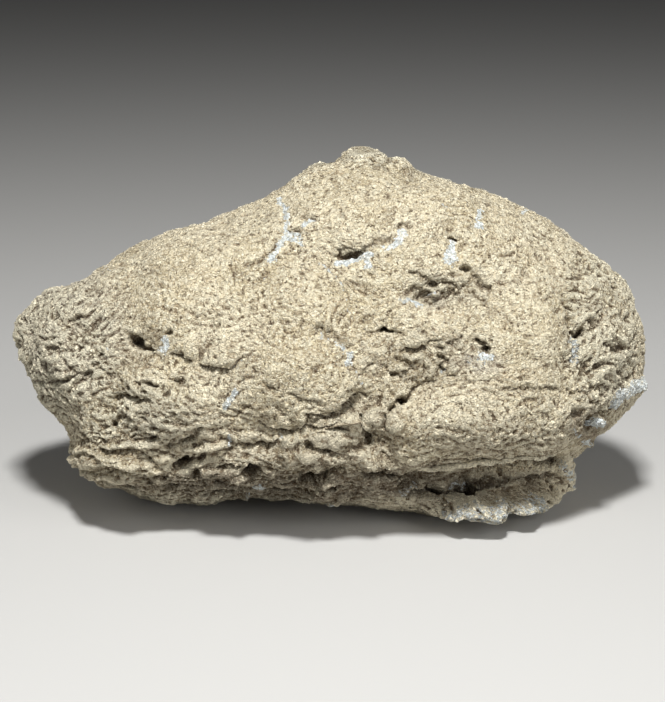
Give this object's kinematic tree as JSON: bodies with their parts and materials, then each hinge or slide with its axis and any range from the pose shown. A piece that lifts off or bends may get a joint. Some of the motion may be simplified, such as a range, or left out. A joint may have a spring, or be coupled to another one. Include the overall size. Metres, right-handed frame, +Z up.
{
  "type": "coprolite",
  "caption": "Natural lumpy coprolite, a sandy fossil lump with folded lobes, creases and pits, resting on its own flat foot.",
  "frame": {"origin": "middle of the bounding box, at the flat foot's level", "axes": "+X along the longest way, from the weathered left end to the right end; +Z up; -Y is the side with the creases and pits"},
  "size_m": [0.1504, 0.087, 0.0831],
  "materials": {
    "sandy_stone": "matt sandy fossil stone, tan with dark and pale grains and thin white mineral in the creases"
  },
  "bodies": {
    "root": {"coprolite": "sandy_stone"}
  },
  "joints": []
}
